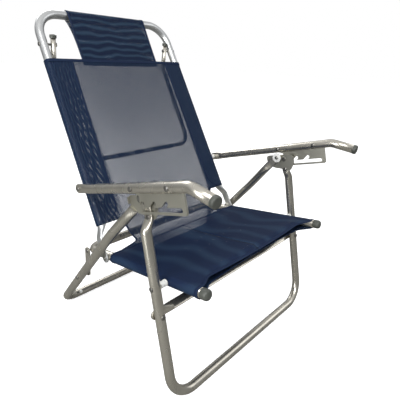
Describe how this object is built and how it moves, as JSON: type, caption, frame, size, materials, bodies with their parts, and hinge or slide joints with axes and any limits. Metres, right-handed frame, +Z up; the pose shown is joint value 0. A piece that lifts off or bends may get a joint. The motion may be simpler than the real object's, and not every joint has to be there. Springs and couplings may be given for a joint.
{
  "type": "beach chair",
  "caption": "Reclining folding beach chair: bent aluminium tube frame, riveted pivots, notched arm plates, blue mesh seat, back and headrest.",
  "frame": {"origin": "On the floor, at the middle of the chair's bounding box.", "axes": "+X is the sitter's left, -Y is the way the sitter faces, +Z is up."},
  "size_m": [0.5752, 0.6978, 0.7983],
  "materials": {
    "frame_tube": "satin, drawn tube with a warm grey tone",
    "plate": "stamped sheet, dull",
    "rivet": "dull, domed heads",
    "nylon": "moulded white nylon",
    "end_cap": "moulded dark grey plastic",
    "mesh_fabric": "open polyester mesh, navy blue"
  },
  "bodies": {
    "front_frame": {"front_leg": "frame_tube", "front_cross_tube": "frame_tube", "cross_tube_rivet_left": "rivet", "cross_tube_rivet_right": "rivet", "leg_bracket_left": "plate", "leg_bracket_right": "plate", "bracket_rivet_left": "rivet", "bracket_rivet_right": "rivet", "latch_pin_left": "rivet", "latch_pin_right": "rivet"},
    "rear_leg": {"rear_leg": "frame_tube", "pivot_disc_left": "nylon", "pivot_disc_right": "nylon", "outer_disc_left": "end_cap", "outer_disc_right": "end_cap", "leg_pivot_rivet_left": "rivet", "leg_pivot_rivet_right": "rivet", "strut_pin_left": "rivet", "strut_pin_right": "rivet", "bumper_left": "nylon", "bumper_right": "nylon"},
    "seat": {"seat_frame": "frame_tube", "seat_cap_left": "end_cap", "seat_cap_right": "end_cap", "seat_spacer_left": "nylon", "seat_spacer_right": "nylon", "seat_rivet_left": "rivet", "seat_rivet_right": "rivet", "rear_strut_left": "frame_tube", "rear_strut_right": "frame_tube", "strut_rivet_left": "rivet", "strut_rivet_right": "rivet", "seat_panel": "mesh_fabric"},
    "back": {"back_frame": "frame_tube", "hinge_rivet_left": "rivet", "hinge_rivet_right": "rivet", "headrest_band": "mesh_fabric", "back_panel": "mesh_fabric", "lumbar_strip": "mesh_fabric"},
    "arm_left": {"arm_tube_left": "frame_tube", "ratchet_plate_left": "plate", "plate_rivet_rear_left": "rivet", "plate_rivet_front_left": "rivet", "arm_cap_left": "end_cap", "arm_rivet_left": "rivet", "arm_spacer_left": "nylon"},
    "arm_right": {"arm_tube_right": "frame_tube", "ratchet_plate_right": "plate", "plate_rivet_rear_right": "rivet", "plate_rivet_front_right": "rivet", "arm_cap_right": "end_cap", "arm_rivet_right": "rivet", "arm_spacer_right": "nylon"},
    "prop": {"prop_leg": "frame_tube", "prop_cap_left": "end_cap", "prop_cap_right": "end_cap", "prop_rivet_left": "rivet", "prop_rivet_right": "rivet"}
  },
  "joints": [
    {"name": "rear_leg_fold", "type": "hinge", "parent": "front_frame", "child": "rear_leg", "pos_m": [0, -0.13569, 0.44074], "axis": [1, 0, 0], "range_deg": [-49, 0]},
    {"name": "seat_fold", "type": "hinge", "parent": "front_frame", "child": "seat", "pos_m": [0, -0.1985, 0.27167], "axis": [1, 0, 0], "range_deg": [0, 60]},
    {"name": "back_recline", "type": "hinge", "parent": "seat", "child": "back", "pos_m": [0, 0.01531, 0.23447], "axis": [1, 0, 0], "range_deg": [-39.7, 0]},
    {"name": "arm_left_swing", "type": "hinge", "parent": "back", "child": "arm_left", "pos_m": [0, 0.1066, 0.39124], "axis": [1, 0, 0], "range_deg": [0, 27.6]},
    {"name": "arm_right_swing", "type": "hinge", "parent": "back", "child": "arm_right", "pos_m": [0, 0.1066, 0.39124], "axis": [1, 0, 0], "range_deg": [0, 27.6]},
    {"name": "prop_swing", "type": "hinge", "parent": "back", "child": "prop", "pos_m": [0, 0.29358, 0.71235], "axis": [1, 0, 0], "range_deg": [0, 75]}
  ],
  "couplings": [
    {"joint": "seat_fold", "follows": "rear_leg_fold", "ratio": -1.2245},
    {"joint": "arm_left_swing", "follows": "back_recline", "ratio": -0.695},
    {"joint": "arm_right_swing", "follows": "back_recline", "ratio": -0.695}
  ]
}
